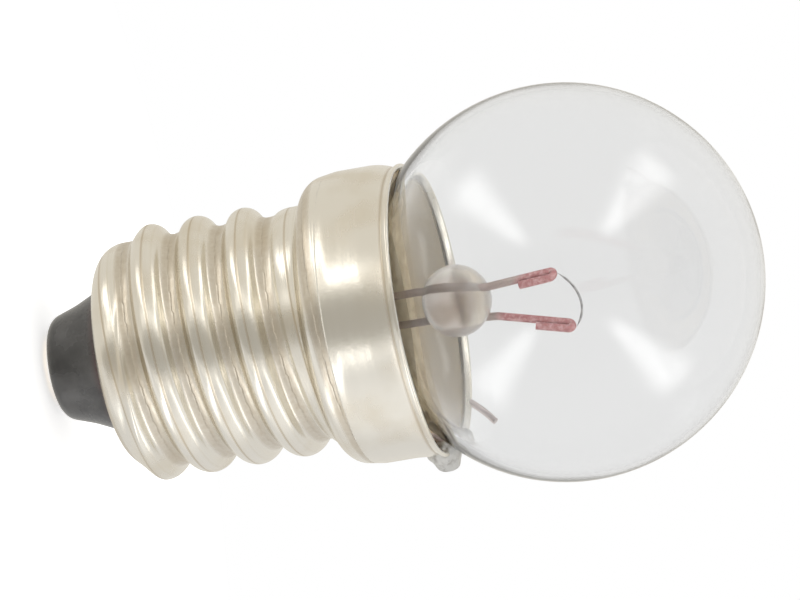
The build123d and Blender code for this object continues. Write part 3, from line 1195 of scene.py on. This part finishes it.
def makeWorld(light):
    world = bpy.data.worlds.new("whiteStudio")
    world.use_nodes = True
    world.node_tree.nodes.clear()
    scene.world = world
    path = Flow(world.node_tree).node("ShaderNodeLightPath", {}, {}, "Is Camera Ray")
    through = path.other("Is Transmission Ray")
    gloss = path.other("Is Glossy Ray") * (1 - through)
    bounced = path.other("Diffuse Depth").math("GREATER_THAN", 0.5)
    behind = light["backdrop"] + bounced * (light["fillInside"] - light["backdrop"])
    east = path.node("ShaderNodeTexCoord", {}, {}, "Generated").part("X")
    south = 0.0 - east.other("Y")
    level = (east * east + south * south).math("SQRT").math("MAXIMUM", light["leastLevel"])
    front = south / level  # 1 straight towards the camera, seen along the lamp's axis
    low = east / level  # 1 at the picture's lower side
    lowSide = low.ease(*light["lowSpan"]) * front.ease(*light["lowFrontSpan"])
    around = light["glossSide"] + lowSide * (light["glossLow"] - light["glossSide"])
    mirrored = around + front.ease(*light["frontSpan"]) * (light["glossFront"] - around)
    rest = 1 - path - through - gloss
    strength = path * light["ground"] + through * behind + gloss * mirrored + rest * light["fill"]
    warm = gloss * (1 - low.ease(*light["warmSpan"]))
    colour = warm.blend(white, light["glossWarm"])
    back = path.node("ShaderNodeBackground", {}, {"Color": colour, "Strength": strength})
    path.node("ShaderNodeOutputWorld", {}, {"Surface": back})


tableLook = {
    "radius": 0.024,
    "sides": 96,
    "colour": (0.9, 0.9, 0.9, 1),
    "glow": 0.62,
    "glowThrough": 0.3,
}


def makeTable(look):
    mesh = bmesh.new()
    bmesh.ops.create_circle(mesh, cap_ends=True, segments=look["sides"], radius=look["radius"])
    made = bpy.data.meshes.new("table")
    mesh.to_mesh(made)
    mesh.free()
    table = newPiece("table", made)
    material, place = newFinish("whiteTable")
    path = place.node("ShaderNodeLightPath", {}, {}, "Is Camera Ray")
    seen = path + path.other("Is Transmission Ray") * look["glowThrough"]
    card = place.node("ShaderNodeBsdfDiffuse", {}, {"Color": look["colour"]})
    glow = place.node("ShaderNodeEmission", {}, {"Color": white, "Strength": seen * look["glow"]})
    both = place.node("ShaderNodeAddShader", {}, {0: card, 1: glow})
    place.node("ShaderNodeOutputMaterial", {}, {"Surface": both})
    made.materials.append(material)
    table.visible_glossy = False


cardFade = {"sides": (0.15, 1.0), "ends": (0.5, 1.0)}  # shares of the half width and half length

rayPlaces = {"off": 66.0, "turns": (52.0, 137.0, 235.0, 319.0)}  # degrees from and round the camera

glassRays = {  # distance in metres; width and length are angles in degrees
    "name": "glassRay",
    "lit": ("glassBulb", "insulatorEnd"),
    "glows": (1.95, 1.35, 1.15, 1.85),
    "distance": 0.25,
    "width": 34.0,
    "length": 74.0,
    "foot": 0.3,
    "seenThrough": True,
}

metalRays = {
    "name": "metalRay",
    "lit": ("screwShell",),
    "glows": (1.4, 1.4, 1.4, 1.4),
    "distance": 0.28,
    "width": 28.0,
    "length": 74.0,
    "foot": 0.3,
    "seenThrough": False,
}

metalBands = {
    "name": "bandCard",
    "lit": ("screwShell", "sideSolder", "centreSolder"),
    "glows": (0.38, 0.21),
    "places": (35.0, -29.0),
    "distance": 0.31,
    "width": 26.0,
    "length": 120.0,
    "foot": 1.0,
    "seenThrough": False,
}


def makeCardFinish(cards, glow):  # fades to the card's edges, and narrows to a share at its foot
    material, place = newFinish(cards["name"])
    across = place.part("X")
    along = across.other("Y")
    reach = cards["foot"] + (1 - cards["foot"]) * (along * 0.5 + 0.5)
    aside = across.math("ABSOLUTE") / reach
    soft = (1 - aside.ease(*cardFade["sides"])) * (1 - along.math("ABSOLUTE").ease(*cardFade["ends"]))
    light = place.node("ShaderNodeEmission", {}, {"Color": white, "Strength": soft * glow})
    through = place.node("ShaderNodeBsdfTransparent", {}, {"Color": white})
    both = place.node("ShaderNodeAddShader", {}, {0: light, 1: through})
    place.node("ShaderNodeOutputMaterial", {}, {"Surface": both})
    return material


def lightGroup(cards):  # the pieces that the cards light
    group = bpy.data.collections.new(cards["name"])
    for piece in cards["lit"]:
        group.objects.link(bpy.data.objects[piece])
    return group


def makeCard(cards, glow, way, along, group):
    finish = makeCardFinish(cards, glow)
    made = bpy.data.meshes.new(finish.name)
    made.from_pydata([(-1, -1, 0), (1, -1, 0), (1, 1, 0), (-1, 1, 0)], [], [(3, 2, 1, 0)])
    made.materials.append(finish)
    card = newPiece(finish.name, made)
    distance = cards["distance"]
    halfWidth = distance * tan(radians(cards["width"] / 2))
    halfLength = distance * tan(radians(cards["length"] / 2))
    turned = Matrix((along.cross(way), along, way)).transposed().to_4x4()
    sized = Matrix.Diagonal((halfWidth, halfLength, 1, 1))
    card.matrix_world = Matrix.Translation(globeCentre + way * distance) @ turned @ sized
    card.visible_camera = False
    card.visible_transmission = cards["seenThrough"]
    card.visible_shadow = False
    card.light_linking.receiver_collection = group


def makeRays(rays, places):  # four cards that point away from the camera
    group = lightGroup(rays)
    off = radians(places["off"])
    for turn, glow in zip(places["turns"], rays["glows"]):
        outward = pictureRight * cos(radians(turn)) + pictureUp * sin(radians(turn))
        way = outward * sin(off) + towardsCamera * cos(off)
        along = outward * cos(off) - towardsCamera * sin(off)
        makeCard(rays, glow, way, along, group)


def makeBands(bands):  # two long cards beside the camera, mirrored in the cap
    group = lightGroup(bands)
    for place, glow in zip(bands["places"], bands["glows"]):
        way = Vector((-sin(radians(place)), -cos(radians(place)), 0))
        makeCard(bands, glow, way, Vector((0, 0, 1)), group)


overheadLamp = {"power": 0.25, "size": 0.2, "height": 0.3}  # watts and metres


def makeOverhead(light):
    data = bpy.data.lights.new("overhead", "AREA")
    data.energy = light["power"]
    data.size = light["size"]
    lamp = newPiece("overhead", data)
    lamp.location = (0, 0, light["height"])
    lamp.visible_glossy = False
    lamp.visible_transmission = False


makeWorld(worldLight)
makeTable(tableLook)
makeRays(glassRays, rayPlaces)
makeRays(metalRays, rayPlaces)
makeBands(metalBands)
makeOverhead(overheadLamp)
print("studio lit")
